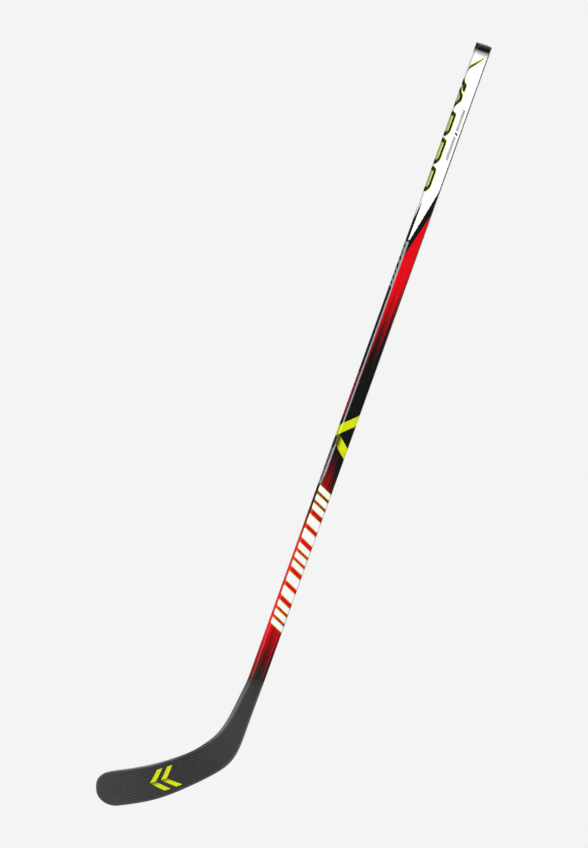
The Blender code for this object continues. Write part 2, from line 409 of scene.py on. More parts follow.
def cut_sheet(low, high, layers, folds, base):
    """Cuts a flat sheet along every outline and fold.

    Returns the points, the triangles and each triangle's material: that of
    the last layer over it, or base where there is none.  A base of None
    leaves the bare triangles out.
    """
    corners = [low, (high[0], low[1]), high, (low[0], high[1])]
    points = list(corners)
    edges = [(0, 1), (1, 2), (2, 3), (3, 0)]
    for start, end in folds:
        edges.append((len(points), len(points) + 1))
        points += [start, end]
    kept = []
    for material, outline in layers:
        outline = clipped(list(outline), low, high)
        if outline:
            kept.append((material, outline))
            first = len(points)
            count = len(outline)
            edges += [(first + i, first + (i + 1) % count) for i in range(count)]
            points += outline
    local = [Vector((p[0] - low[0], p[1] - low[1])) for p in points]
    found, _, faces, _, _, _ = delaunay_2d_cdt(local, edges, [], 0, TOUCHING, False)
    placed = [(p[0] + low[0], p[1] + low[1]) for p in found]
    triangles = []
    materials = []
    for face in faces:
        a, b, c = (placed[i] for i in face)
        area = (b[0] - a[0]) * (c[1] - a[1]) - (b[1] - a[1]) * (c[0] - a[0])
        if abs(area) < SLIVER:
            continue
        centre = ((a[0] + b[0] + c[0]) / 3.0, (a[1] + b[1] + c[1]) / 3.0)
        owner = base
        for material, outline in kept:
            if inside(centre, outline):
                owner = material
        if owner is not None:
            triangles.append(tuple(face) if area > 0.0 else tuple(face)[::-1])
            materials.append(owner)
    return placed, triangles, materials


def mirrored(places, faces, owners):
    """The front half of the shaft's sheet with its mirror image, the back half,
    which goes without some of the front's graphics."""
    image = []
    extra = []
    for index, (across, down) in enumerate(places):
        if abs(across) > EDGE - TOUCHING:
            image.append(index)
        else:
            image.append(len(places) + len(extra))
            extra.append((math.copysign(2.0 * EDGE, across) - across, down))
    faces = faces + [tuple(image[i] for i in face[::-1]) for face in faces]
    back_owners = [FRONT_ONLY.get(owner, owner) for owner in owners]
    return places + extra, faces, owners + back_owners


def make_shell(name, places, faces, owners, surface, levels, chart, hidden_owner):
    """Closed shell of two layers joined round their open rims.

    places are where the surface function is taken, faces index them, owners
    names each face's material, and levels are the surface function's last
    value on the shown layer and on the hidden one.  chart gives the across
    and down that the materials read at each place.
    """
    shown = [surface(a, b, levels[0]) for a, b in places]
    hidden = [surface(a, b, levels[1]) for a, b in places]
    normals = []
    for index, (a, b) in enumerate(places):
        normal = surface_normal(surface, a, b, levels[0])
        if normal.dot(shown[index] - hidden[index]) < 0.0:
            normal = -normal
        normals.append(normal)
    a, b, c = faces[0][:3]
    if (shown[b] - shown[a]).cross(shown[c] - shown[a]).dot(normals[a]) < 0.0:
        faces = [face[::-1] for face in faces]
    rims = {}
    for face in faces:
        for edge in sides(face):
            if edge[::-1] in rims:
                del rims[edge[::-1]]
            else:
                rims[edge] = True
    count = len(places)
    whole = list(faces)
    whole += [tuple(i + count for i in face[::-1]) for face in faces]
    whole += [(b, a, a + count, b + count) for a, b in rims]
    mesh = bpy.data.meshes.new(name)
    mesh.from_pydata(shown + hidden, [], whole)
    names = list(dict.fromkeys(owners + [hidden_owner]))
    for material in names:
        mesh.materials.append(bpy.data.materials[material])
    layer = mesh.uv_layers.new(name="sheet")
    charted = [Vector(chart(a, b)) * MM for a, b in places]
    custom = []
    for polygon in mesh.polygons:
        polygon.use_smooth = True
        on_show = polygon.index < len(faces)
        owner = owners[polygon.index] if on_show else hidden_owner
        polygon.material_index = names.index(owner)
        for corner, vertex in zip(polygon.loop_indices, polygon.vertices):
            layer.data[corner].uv = charted[vertex % count]
            if on_show:
                custom.append(normals[vertex])
            elif polygon.index < 2 * len(faces):
                custom.append(-normals[vertex % count])
            else:
                custom.append(polygon.normal.copy())
    mesh.normals_split_custom_set(custom)
    return linked(name, mesh)


def shaft_chart(across, down):
    """The place on the front half of the sheet, which the back half repeats."""
    if abs(across) > EDGE + TOUCHING:
        across = math.copysign(2.0 * EDGE, across) - across
    return across, down


# ---------- materials

# Of the clear coat on the paints
COAT_ROUGHNESS = 0.08

# Where the bulk of a noise's values lies
NOISE_BULK = (0.3, 0.7)


class Graph:
    """Builds one material's nodes.  Arguments are sockets or plain values."""

    def __init__(self, name):
        self.material = bpy.data.materials.new(name)
        self.material.use_nodes = True
        self.tree = self.material.node_tree
        self.shader = self.tree.nodes["Principled BSDF"]

    def put(self, socket, value):
        if isinstance(value, bpy.types.NodeSocket):
            self.tree.links.new(value, socket)
        elif socket.type == "RGBA":
            socket.default_value = (*value, 1.0)
        else:
            socket.default_value = value

    def node(self, kind, inputs, **settings):
        item = self.tree.nodes.new(kind)
        for key, value in settings.items():
            setattr(item, key, value)
        for key, value in inputs.items():
            self.put(item.inputs[key], value)
        return item

    def math(self, operation, first, second=0.0, clamp=False):
        inputs = {0: first, 1: second}
        return self.node("ShaderNodeMath", inputs, operation=operation, use_clamp=clamp).outputs[0]

    def plus(self, first, second, clamp=False):
        return self.math("ADD", first, second, clamp)

    def minus(self, first, second):
        return self.math("SUBTRACT", first, second)

    def times(self, first, second):
        return self.math("MULTIPLY", first, second)

    def ranged(self, value, start, end, low=0.0, high=1.0, smooth=True):
        """The value taken from start..end to low..high, held at both ends."""
        kind = "SMOOTHSTEP" if smooth else "LINEAR"
        inputs = {"Value": value, "From Min": start, "From Max": end, "To Min": low, "To Max": high}
        return self.node("ShaderNodeMapRange", inputs, interpolation_type=kind).outputs["Result"]

    def mix(self, share, first, second):
        item = self.node("ShaderNodeMix", {}, data_type="RGBA")
        self.put(item.inputs[0], share)
        self.put(item.inputs[6], first)
        self.put(item.inputs[7], second)
        return item.outputs[2]

    def shaded(self, colour, factor):
        """The colour made darker or lighter by a factor."""
        item = self.node("ShaderNodeVectorMath", {0: colour}, operation="SCALE")
        self.put(item.inputs["Scale"], factor)
        return item.outputs[0]

    def noise(self, place, scale, detail=2.0):
        inputs = {"Vector": place, "Scale": scale, "Detail": detail}
        return self.node("ShaderNodeTexNoise", inputs).outputs["Fac"]

    def solid_place(self):
        return self.node("ShaderNodeTexCoord", {}).outputs["Object"]

    def sheet_place(self):
        """Across and down on the flat sheet, in millimetres."""
        place = self.node("ShaderNodeUVMap", {}, uv_map="sheet").outputs[0]
        parts = self.node("ShaderNodeSeparateXYZ", {0: place})
        return [self.times(parts.outputs[axis], 1.0 / MM) for axis in (0, 1)]

    def sheet_noise(self, across, down, scales, detail):
        """Noise on the flat sheet, with its own scale across and down."""
        stretched = {0: self.times(across, scales[0]), 1: self.times(down, scales[1])}
        place = self.node("ShaderNodeCombineXYZ", stretched).outputs[0]
        return self.noise(place, 1.0, detail)

    def spread(self, noise, low=0.0, high=1.0):
        """The bulk of a noise's values taken to low..high."""
        return self.ranged(noise, *NOISE_BULK, low, high)

    def swayed(self, noise, amount):
        """The noise centred on zero and taken to an amount."""
        return self.times(self.minus(noise, 0.5), amount)

    def profile(self, value, points):
        """A height read off a line through (value, height) points."""
        start = points[0][0]
        end = points[-1][0]
        low = min(height for _, height in points)
        high = max(height for _, height in points)
        share = self.ranged(value, start, end, smooth=False)
        item = self.node("ShaderNodeValToRGB", {0: share})
        stops = item.color_ramp.elements
        while len(stops) < len(points):
            stops.new(0.5)
        for stop, (place, height) in zip(stops, points):
            stop.position = (place - start) / (end - start)
            grey = (height - low) / (high - low)
            stop.color = (grey, grey, grey, 1.0)
        return self.ranged(item.outputs["Color"], 0.0, 1.0, low, high, smooth=False)

    def finish(self, colour, roughness, height, depth, coat=0.0):
        """Joins the colour, roughness and bump height to the shader."""
        looks = {"Base Color": colour, "Roughness": roughness}
        looks.update({"Coat Weight": coat, "Coat Roughness": COAT_ROUGHNESS})
        for name, value in looks.items():
            self.put(self.shader.inputs[name], value)
        inputs = {"Height": height, "Distance": depth, "Strength": 1.0}
        bump = self.node("ShaderNodeBump", inputs)
        self.put(self.shader.inputs["Normal"], bump.outputs["Normal"])
        return self.material


# Lacquered paint
COAT = 0.35
SPECULAR = 0.25
GLOSS = (0.25, 0.37)
PAINT_MOTTLE = 0.045
WHITE_MOTTLE = 0.012
PEEL_DEPTH = 0.00001
MOTTLE_SCALE = 45.0
GLOSS_SCALE = 130.0
PEEL_SCALE = 700.0


def gloss_paint(graph, colour, mottle=PAINT_MOTTLE):
    """Lacquered paint: a faint mottle, uneven gloss and fine orange peel."""
    place = graph.solid_place()
    uneven = graph.spread(graph.noise(place, MOTTLE_SCALE, 3.0), 1.0 - mottle, 1.0 + mottle)
    gloss = graph.spread(graph.noise(place, GLOSS_SCALE, 4.0), *GLOSS)
    peel = graph.noise(place, PEEL_SCALE)
    graph.put(graph.shader.inputs["Specular IOR Level"], SPECULAR)
    return graph.finish(graph.shaded(colour, uneven), gloss, peel, PEEL_DEPTH, COAT)


# The streaks of the red field.  Their ends waver by hairs and, more evenly,
# by a swing that repeats across the shaft.
HAIR_SCALES = (1.7, 0.02)
STREAK_RAGGED = 30.0
STREAK_SWING = 21.0
STREAK_PITCH = 3.8
STREAK_PHASE = 5.7
FADE_POWER = 1.6

# Each streak's fade: across, where it starts and where it ends
UPPER_FADES = (
    (-EDGE, 335.0, 440.0), (-9.5, 340.0, 455.0), (-8.3, 347.0, 473.0), (-6.2, 375.0, 455.0),
    (-3.5, 408.0, 529.0), (-1.8, 384.0, 498.0), (-0.4, 401.0, 503.0), (1.9, 382.0, 477.0),
    (3.6, 370.0, 494.0), (5.2, 419.0, 497.0), (7.7, 425.0, 552.0), (9.2, 420.0, 545.0),
    (11.4, 300.0, 330.0), (EDGE, 300.0, 330.0),
)
MIDDLE_FADES = (
    (-EDGE, 710.0, 745.0), (-9.5, 700.0, 790.0), (-6.0, 702.0, 788.0), (-3.2, 685.0, 756.0),
    (-1.5, 684.0, 812.0), (0.8, 655.0, 738.0), (2.6, 667.0, 747.0), (3.8, 665.0, 743.0),
    (5.7, 667.0, 812.0), (7.7, 668.0, 730.0), (9.4, 668.0, 750.0), (12.0, 735.0, 775.0),
    (EDGE, 750.0, 790.0),
)
LOWER_FADES = (
    (-EDGE, 905.0, 1012.0), (-8.5, 870.0, 1030.0), (-5.5, 972.0, 1033.0), (-3.6, 904.0, 1006.0),
    (-1.7, 943.0, 1022.0), (0.3, 900.0, 1004.0), (1.9, 918.0, 1003.0), (3.4, 860.0, 1030.0),
    (5.5, 945.0, 1019.0), (7.2, 930.0, 1024.0), (9.4, 975.0, 1048.0), (10.8, 948.0, 1030.0),
    (EDGE, 990.0, 1085.0),
)


def streaked_share(graph, across, down):
    """Share of red in the streaked paint: the red field that breaks up into
    black at the top, the streaks that return above the bars, and the
    streaks that die out towards the hosel."""
    hair = graph.sheet_noise(across, down, HAIR_SCALES, 1.0)
    ragged = graph.plus(down, graph.swayed(hair, STREAK_RAGGED))
    turn = graph.times(graph.plus(across, STREAK_PHASE), 2.0 * math.pi / STREAK_PITCH)
    line = graph.math("COSINE", turn)

    def run(fades, swing):
        """How far each streak's fade has run, from 0 at its start to 1."""
        start = graph.profile(across, [(place, start) for place, start, _ in fades])
        end = graph.profile(across, [(place, end) for place, _, end in fades])
        place = graph.plus(ragged, graph.times(line, swing))
        return graph.ranged(place, start, end, smooth=False)

    upper = graph.math("POWER", graph.minus(1.0, run(UPPER_FADES, STREAK_SWING)), FADE_POWER)
    middle = graph.math("POWER", run(MIDDLE_FADES, -STREAK_SWING), FADE_POWER)
    lower = graph.math("POWER", graph.minus(1.0, run(LOWER_FADES, -STREAK_SWING)), FADE_POWER)
    return graph.plus(upper, graph.times(middle, lower), clamp=True)


# Down, from where the white comes out of the black at the butt to where it
# is full, and from where the black below starts to pale
BUTT_FADE = (8.5, 18.5)
PALE_BLACK_START = 985.0

# Painted light: the brighter red of the inner narrow face beside the bars, standing in for the side light
# that falls on that face
PAINTED_LIGHT_RED = (1.0, 0.02, 0.04)
PAINTED_LIGHT_ACROSS = ((11.3, 0.0), (12.8, 1.0), (2.0 * EDGE - 12.8, 1.0), (2.0 * EDGE - 11.3, 0.0))
PAINTED_LIGHT_DOWN = ((765.0, 0.0), (805.0, 1.0), (950.0, 1.0), (990.0, 0.0))

# Across, where each folded band darkens towards its fold
FOLD_SHADES = {"mark_fold_paint": (-8.0, 1.0), "folded_neon_paint": (1.0, 8.0)}


def make_paints():
    """The shaft's paints, each by its own name."""
    graph = Graph("white_paint")
    _, down = graph.sheet_place()
    gloss_paint(graph, graph.mix(graph.ranged(down, *BUTT_FADE, smooth=False), BLACK, WHITE), WHITE_MOTTLE)
    graph = Graph("streaked_paint")
    across, down = graph.sheet_place()
    # The black grows paler over the last stretch before the hosel
    ground = graph.mix(graph.ranged(down, PALE_BLACK_START, SHAFT_LENGTH), BLACK, PALE_BLACK)
    # Painted light: the inner narrow face beside the bars is made a brighter red
    lit = graph.times(graph.profile(across, PAINTED_LIGHT_ACROSS), graph.profile(down, PAINTED_LIGHT_DOWN))
    red = graph.mix(lit, RED, PAINTED_LIGHT_RED)
    gloss_paint(graph, graph.mix(streaked_share(graph, across, down), ground, red))
    for name, shade in FOLD_SHADES.items():
        graph = Graph(name)
        across, _ = graph.sheet_place()
        gloss_paint(graph, graph.mix(graph.ranged(across, *shade), NEON, NEON_SHADE))
    for name, colour in FLAT_PAINTS.items():
        gloss_paint(Graph(name), colour)
    gloss_paint(Graph("bar_white_paint"), WHITE, WHITE_MOTTLE)


# The weave of the blade: crossed lines that are finest at the waist, a
# distance down from the hosel's top, and widen away from it
WEAVE_PITCH = 3.0
WEAVE_SLOPE = 0.13
WEAVE_WAIST = 215.0
WEAVE_REACH = 190.0
WEAVE_WARP = 16.0
WARP_SCALES = (0.03, 0.02)
WEAVE_MARGIN = (3.5, 9.0)
WEAVE_SPAN = 1.4
WEAVE_TONE = 0.9
WEAVE_DEPTH = 0.00002
CLOUD_SCALE = 22.0
GRAIN_SCALE = 900.0
GRAIN_TONE = 0.06
SATIN = (0.44, 0.54)

# By distance down: the strength of the weave; the tone of the faces and of the edges, which is
# painted light and shade (paler hosel and toe, a darker middle, and painted highlights down the
# edges) over the dark of the shaft's end at the joint; and how much brighter or darker the rims
# of the faces are, which is painted highlight and shade
WEAVE_STRENGTH = (
    (0.0, 0.04), (115.0, 0.06), (150.0, 0.75), (230.0, 0.85), (288.0, 0.8), (312.0, 0.12), (345.0, 0.05),
)
FACE_TONE_AND_PAINTED_LIGHT = (
    (0.0, 0.38), (4.0, 0.6), (14.0, 0.9), (60.0, 0.94), (120.0, 0.9), (160.0, 0.62), (225.0, 0.6),
    (275.0, 0.72), (345.0, 0.95),
)
EDGE_TONE_AND_PAINTED_LIGHT = (
    (0.0, 0.6), (9.0, 1.5), (24.0, 1.6), (60.0, 1.9), (105.0, 2.2), (125.0, 1.6), (150.0, 0.7),
    (170.0, 0.7), (200.0, 1.7), (270.0, 2.3), (300.0, 1.4), (345.0, 1.7),
)
TOP_RIM_PAINTED_LIGHT = (
    (0.0, 1.0), (14.0, 1.5), (24.0, 1.7), (60.0, 2.0), (110.0, 1.5), (140.0, 0.8), (165.0, 0.3),
    (195.0, 0.9), (230.0, 1.9), (275.0, 1.4), (310.0, 0.7), (345.0, 1.0),
)
BOTTOM_RIM_PAINTED_LIGHT = ((0.0, 2.8), (120.0, 2.8), (160.0, 2.4), (240.0, 1.8), (345.0, 1.0))
# How far in from a rim the painted rim light and shade are full, and where they are gone
RIM_PAINTED_LIGHT_FADE = (3.2, 4.4)
HALF_WIDTHS = [
    (station, 0.5 * float(np.linalg.norm(rib_at(station)[0] - rib_at(station)[1])))
    for station in np.linspace(0.0, TOE_START, 28).tolist()
]

# The shaft's red that runs out over the hosel's inner corner
TAIL_ACROSS = (11.0, 13.5)
TAIL_LENGTH = 14.0
TAIL_SHARE = 0.25


def composite_material(name, tone_and_painted_light):
    """Moulded carbon and glass fibre: a crossed, slightly wandering weave
    under satin resin, with painted light and shade along the blade and
    painted highlights and shade round the rims."""
    graph = Graph(name)
    across, down = graph.sheet_place()
    half = graph.profile(down, HALF_WIDTHS)
    warp = graph.swayed(graph.sheet_noise(across, down, WARP_SCALES, 2.0), WEAVE_WARP)
    from_waist = graph.minus(down, WEAVE_WAIST)
    reach = graph.times(from_waist, 1.0 / WEAVE_REACH)
    widening = graph.plus(graph.times(reach, reach), 1.0)
    pitch = graph.times(widening, WEAVE_PITCH)
    lines = []
    for slope in (WEAVE_SLOPE, -WEAVE_SLOPE):
        lean = graph.times(from_waist, slope)
        turn = graph.math("DIVIDE", graph.plus(graph.plus(across, warp), lean), pitch)
        lines.append(graph.math("SINE", graph.times(turn, 2.0 * math.pi)))
    weave = graph.plus(*lines)
    margin = graph.minus(half, graph.math("ABSOLUTE", across))
    weave = graph.times(weave, graph.ranged(margin, *WEAVE_MARGIN))
    weave = graph.times(weave, graph.profile(down, WEAVE_STRENGTH))
    cloud = graph.noise(graph.solid_place(), CLOUD_SCALE, 4.0)
    grain = graph.noise(graph.solid_place(), GRAIN_SCALE, 2.0)
    tone = graph.ranged(weave, -WEAVE_SPAN, WEAVE_SPAN, 1.0 - WEAVE_TONE, 1.0 + WEAVE_TONE, smooth=False)
    for unevenness in (cloud, grain):
        tone = graph.times(tone, graph.spread(unevenness, 1.0 - GRAIN_TONE, 1.0 + GRAIN_TONE))
    # Painted light and shade along the blade, over the dark of the joint
    tone = graph.times(tone, graph.profile(down, tone_and_painted_light))
    # Painted highlights and shade along the top and bottom rims
    for way, painted_light_gains in (("SUBTRACT", TOP_RIM_PAINTED_LIGHT), ("ADD", BOTTOM_RIM_PAINTED_LIGHT)):
        near = graph.ranged(graph.math(way, half, across), *RIM_PAINTED_LIGHT_FADE, 1.0, 0.0)
        painted_light_gain = graph.times(near, graph.minus(graph.profile(down, painted_light_gains), 1.0))
        tone = graph.times(tone, graph.plus(painted_light_gain, 1.0))
    roughness = graph.spread(cloud, *SATIN)
    colour = graph.shaded(CHARCOAL, tone)
    tail = graph.ranged(down, 0.0, TAIL_LENGTH, TAIL_SHARE, 0.0)
    red = graph.times(graph.ranged(across, *TAIL_ACROSS), tail)
    return graph.finish(graph.mix(red, colour, RED), roughness, weave, WEAVE_DEPTH)


def layered_material(name, dark, light, scale, roughness, depth):
    """A plain hidden material with its own grain: foam, glue, wood or ply."""
    graph = Graph(name)
    place = graph.solid_place()
    stretched = graph.node("ShaderNodeMapping", {0: place, "Scale": scale}).outputs[0]
    grain = graph.noise(stretched, 1.0, 4.0)
    colour = graph.mix(graph.spread(grain), dark, light)
    uneven = graph.spread(grain, roughness - 0.08, roughness + 0.08)
    return graph.finish(colour, uneven, grain, depth)


# Hidden materials: dark and light colour, grain scale each way, roughness
# and bump depth
PLY = ((0.03, 0.032, 0.034), (0.07, 0.072, 0.076), (700.0, 700.0, 90.0), 0.5, 0.00003)
GLUE = ((0.42, 0.34, 0.14), (0.62, 0.54, 0.28), (60.0, 60.0, 60.0), 0.35, 0.00002)
FOAM = ((0.62, 0.54, 0.38), (0.86, 0.8, 0.66), (900.0, 900.0, 900.0), 0.85, 0.0001)
WOOD = ((0.36, 0.24, 0.12), (0.64, 0.48, 0.29), (320.0, 320.0, 22.0), 0.65, 0.00005)
INNER_LOOKS = {
    "shaft_inner_tube": PLY, "hosel_sleeve": PLY, "front_inner_ply": PLY, "back_inner_ply": PLY,
    "core_rib": PLY, "plug_adhesive": GLUE, "tenon_adhesive": GLUE, "tenon_block": WOOD,
    "heel_insert": WOOD, "upper_foam_core": FOAM, "lower_foam_core": FOAM,
}


def dress_inner_nodes():
    """A procedural material for each CAD node that stays."""
    for name, look in INNER_LOOKS.items():
        material = layered_material(name + "_look", *look)
        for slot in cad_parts[name].material_slots:
            slot.material = material


# ---------- paintwork

# Across: the edge of the black line down the outer corner, and both edges
# of the silver line down the inner one
OUTER_LINE = 8.95
INNER_LINE = (9.2, 11.4)


def field_layers():
    """The white top, the black sweep across it, the streaked red below, and
    the black line down the outer corner."""
    sweep = [
        (-EDGE, 195.0), (-13.9, 209.0), (-10.3, 226.0), (8.6, 314.0), (9.2, 316.5), (11.2, 318.0),
        (10.8, 281.0), (10.4, 255.0), (12.8, 264.0), (EDGE, 284.0),
        (EDGE, SHAFT_LENGTH), (-EDGE, SHAFT_LENGTH),
    ]
    red = [
        (-EDGE, 237.0), (-13.9, 253.0), (-9.4, 271.0), (8.9, 342.5), (9.2, 345.0),
        (EDGE, 393.0), (EDGE, SHAFT_LENGTH), (-EDGE, SHAFT_LENGTH),
    ]
    outer_top = [
        (-EDGE, 8.0), (-OUTER_LINE, 10.0), (0.25 - OUTER_LINE, 215.0), (-OUTER_LINE, 340.0),
        (-OUTER_LINE, 715.0), (-11.5, 730.0), (-EDGE, 738.0),
    ]
    outer_end = [(-EDGE, 962.0), (-OUTER_LINE, 978.0), (-OUTER_LINE, SHAFT_LENGTH), (-EDGE, SHAFT_LENGTH)]
    return [
        ("black_paint", sweep),
        ("streaked_paint", red),
        ("black_paint", outer_top),
        ("black_paint", outer_end),
    ]


def butt_stripe_layers():
    """A fine olive stripe with a black core, from the butt down to the inner edge."""
    line = [
        (-6.6, 16.5), (-3.6, 20.0), (-0.6, 23.8), (2.8, 27.8), (6.8, 32.2), (10.5, 36.4), (14.1, 41.6),
        (EDGE, 47.5),
    ]
    widths = [0.4, 2.0, 3.0, 3.9, 4.5, 4.6, 4.0, 1.0]
    core = [0.05, 0.1, 0.4, 1.1, 1.9, 2.4, 2.6, 0.6]
    return [("stripe_olive_paint", ribbon(line, widths)), ("stripe_black_paint", ribbon(line, core))]


# Down: both ends of each panel that wraps over the inner narrow face
PANELS = ((110.3, 151.5), (153.6, 196.5), (199.4, 240.8))


def edge_block_layers():
    """A black chevron, a hexagon and three panels with a neon rim that wrap
    over the inner narrow face."""
    chevron = [
        (EDGE, 57.0), (13.5, 60.0), (10.5, 63.0), (7.8, 65.5), (7.0, 69.0), (7.2, 76.8), (9.8, 76.2),
        (12.2, 72.0), (14.0, 69.0), (EDGE, 66.5),
    ]
    hexagon = [
        (EDGE, 71.0), (13.5, 75.0), (10.5, 79.0), (7.8, 82.5), (7.0, 86.0), (7.2, 91.5), (10.0, 96.2),
        (13.0, 100.5), (EDGE, 105.0),
    ]
    middle = [(EDGE, 79.5), (14.5, 82.0), (11.4, 86.0), (11.4, 90.0), (13.5, 93.5), (EDGE, 97.0)]
    layers = []
    for block in (chevron, hexagon):
        layers += [("neon_paint", grown(block, 1.0)), ("black_paint", grown(block, 0.2))]
    layers.append(("panel_paint", middle))
    for start, end in PANELS:
        panel = rounded([
            (EDGE, start), (10.5, start), (7.1, start + 3.0),
            (7.1, end - 10.0), (10.5, end - 2.5), (EDGE, end),
        ], 3.0)
        inner = [
            (10.2, start + 6.5), (EDGE, start + 6.5),
            (EDGE, end - 7.5), (12.6, end - 8.5), (10.2, end - 13.0),
        ]
        layers += [("neon_paint", grown(panel, 0.9)), ("black_paint", panel)]
        layers += [("olive_paint", inner), ("panel_paint", grown(inner, -1.0))]
    return layers


MARK_SLANT = -0.5

# Rows of small slanted marks: paint, start of the first, pitch, count,
# length and both ends across
TICK_ROWS = (
    ("tick_paint", 103.5, 3.1, 11, 2.1, -5.0, -0.8),
    ("tick_paint", 146.9, 3.1, 12, 2.1, -5.0, -0.8),
    ("black_paint", 140.2, 0.0, 1, 3.2, -5.6, -1.4),
)
EDGE_ROWS = (
    ("black_paint", 326.0, 0.0, 1, 4.0, 12.6, EDGE),
    ("black_paint", 337.0, 0.0, 1, 2.0, 12.6, EDGE),
    ("black_paint", 345.0, 0.0, 1, 6.0, 12.6, EDGE),
    ("black_paint", 356.0, 0.0, 1, 8.0, 12.6, EDGE),
    ("black_paint", 368.0, 0.0, 1, 3.0, 12.6, EDGE),
    ("black_paint", 376.0, 0.0, 1, 5.0, 12.6, EDGE),
    ("black_paint", 386.0, 0.0, 1, 3.0, 12.6, EDGE),
    ("black_paint", 656.5, 4.6, 7, 3.4, 12.4, 17.2),
    ("black_paint", 688.7, 4.6, 4, 2.0, 12.4, 17.2),
    ("dim_red_paint", 532.0, 10.4, 7, 8.8, 12.6, EDGE),
)


def mark_layers(rows):
    """Rows of small slanted marks, each row in one paint."""
    layers = []
    for paint, first, pitch, count, length, low, high in rows:
        for i in range(count):
            start = first + pitch * i
            layers.append((paint, slanted(start, start + length, low, high, MARK_SLANT)))
    return layers


def edge_line_layers():
    """The silver line down the inner corner."""
    low, high = INNER_LINE
    return [
        ("silver_paint", [(low, 320.5), (EDGE, 320.5), (EDGE, 393.0), (low, 393.0)]),
        ("silver_paint", [(low, 392.0), (high, 392.0), (high, 690.0), (high, 712.0), (low, 690.0)]),
        ("silver_paint", [(high, 655.0), (EDGE, 655.0), (EDGE, 713.0), (high, 713.0)]),
    ]


def ribbon_layers():
    """The neon ribbon that wraps the shaft and folds back on the inner edge."""
    width = 17.0
    down_slope = 0.89
    up_slope = -0.87
    start_down = 594.5
    start_up = 649.6
    corner = -11.0
    fold = 12.6

    def band(start, slope, end):
        low = start + slope * (-EDGE - corner)
        high = start + slope * (end - corner)
        return [(-EDGE, low), (end, high), (end, high + width), (-EDGE, low + width)]

    return [
        ("folded_neon_paint", band(start_up, up_slope, fold)),
        ("neon_paint", band(start_down, down_slope, EDGE)),
    ]


# The slanted bars: where the first group starts, the groups' pitch and
# length, the bars' ends across, and how many bars of what width a group has
BARS_START = 719.0
GROUP_PITCH = 46.2
GROUP_LENGTH = 37.2
BAR_ENDS = (-10.6, 11.2)
BAR_SLANT = -0.46
BAR_GROUPS = ((3, 8.6), (2, 14.6), (3, 8.6), (2, 14.6), (3, 8.6))
BAR_RIM = 1.05


def bar_layers():
    """White slanted bars with an olive rim, in groups of three and two."""
    layers = []
    for group, (count, width) in enumerate(BAR_GROUPS):
        step = (GROUP_LENGTH - width) / (count - 1)
        for i in range(count):
            start = BARS_START + GROUP_PITCH * group + step * i
            bar = slanted(start, start + width, *BAR_ENDS, BAR_SLANT)
            layers.append(("olive_paint", rounded(grown(bar, BAR_RIM), 3.0)))
            layers.append(("bar_white_paint", rounded(bar, 2.2)))
    return layers


# The wrap's stretches: name, and where each starts and ends
STRETCHES = (
    ("shaft_wrap_butt", PLUG_HEAD, 260.0),
    ("shaft_wrap_upper", 260.0, 515.0),
    ("shaft_wrap_lower", 515.0, 766.0),
    ("shaft_wrap_hosel_end", 766.0, SHAFT_LENGTH - JOINT_GAP),
)


def make_shaft():
    """The painted outer wrap, in stretches that meet end to end."""
    layers = field_layers() + butt_stripe_layers() + edge_block_layers() + mark_layers(TICK_ROWS)
    layers += edge_line_layers() + mark_layers(EDGE_ROWS) + ribbon_layers() + bar_layers()
    pieces = []
    for name, start, end in STRETCHES:
        folds = []
        for across in steps_between(FLAT, FLAT + CORNER, CORNER_FOLDS):
            folds += [((side * across, start), (side * across, end)) for side in (-1.0, 1.0)]
        sheet = cut_sheet((-EDGE, start), (EDGE, end), layers, folds, "white_paint")
        piece = make_shell(name, *mirrored(*sheet), shaft_point, (0.0, WALL), shaft_chart, "bare_ply")
        pieces.append(piece)
    return pieces


# ---------- blade and plug

def blade_point(turn, length, wall):
    """Point of the hosel and blade; length past TOE_START follows the toe's
    curve by angle, so that equal steps stay even round it."""
    if length > TOE_START:
        angle = min(math.pi / 2.0, (length - TOE_START) / TOE_LENGTH)
        length = TOE_START + TOE_LENGTH * math.sin(angle)
    return section_point(length, turn, wall)


def blade_chart(turn, length):
    """Across is up from the blade's middle line, down is along it."""
    point = blade_point(turn, length, 0.0) / MM
    top, bottom, _, _ = rib_at(min(length, TOE_START))
    up = (top - bottom) / np.linalg.norm(top - bottom)
    across = np.dot(np.array([point.x, point.z]) - 0.5 * (top + bottom), up)
    return across, length


def film_chart(across, length):
    """The film on the blade's face is laid out as the materials read it."""
    return across, length


# The blade's shells: name, the turn round the section where each starts,
# steps over its flat and its material
BLADE_SHELLS = (
    ("front_face_shell", -0.5, 16, "face_composite"),
    ("top_edge_shell", 1.5, 3, "edge_composite"),
    ("back_face_shell", 3.5, 16, "face_composite"),
    ("bottom_edge_shell", 5.5, 3, "edge_composite"),
)
LENGTH_STEPS = 146
TOE_STEPS = 36
ROUND_STEPS = 5

# Half the hairline between two shells, as a turn, and the angle by which the
# toe's last ring stops short of the tip
SEAM = 0.01
TIP_SHORT = 0.004


